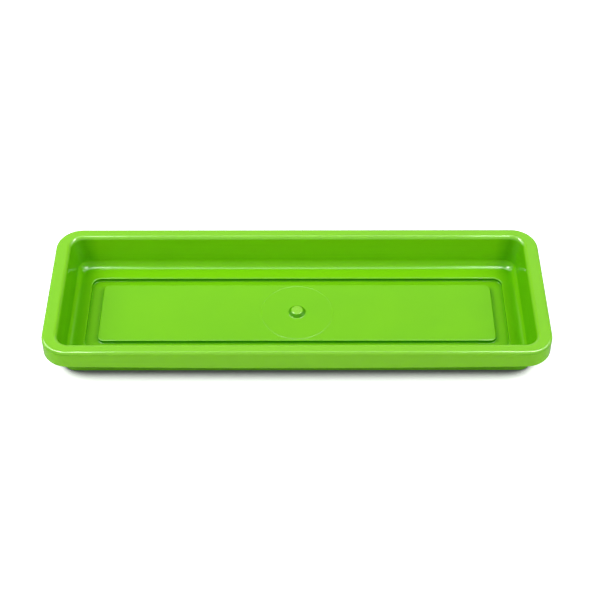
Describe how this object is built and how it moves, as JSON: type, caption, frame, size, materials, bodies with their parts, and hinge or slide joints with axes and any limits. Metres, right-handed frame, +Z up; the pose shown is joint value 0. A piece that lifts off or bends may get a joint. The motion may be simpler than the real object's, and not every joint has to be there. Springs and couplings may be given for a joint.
{
  "type": "plant saucer",
  "caption": "Long rectangular drip saucer for a window box, with a turned-down rim, a sloping well, a moat and a raised platform.",
  "frame": {"origin": "on the ground, under the middle of the tray", "axes": "+X along the tray's length, +Y across it towards the far long side, +Z up"},
  "size_m": [0.4, 0.139, 0.0345],
  "materials": {
    "green_plastic": "smooth moulded polypropylene, semi-gloss, with a slightly hazy platform"
  },
  "bodies": {
    "root": {"saucer": "green_plastic"}
  },
  "joints": []
}
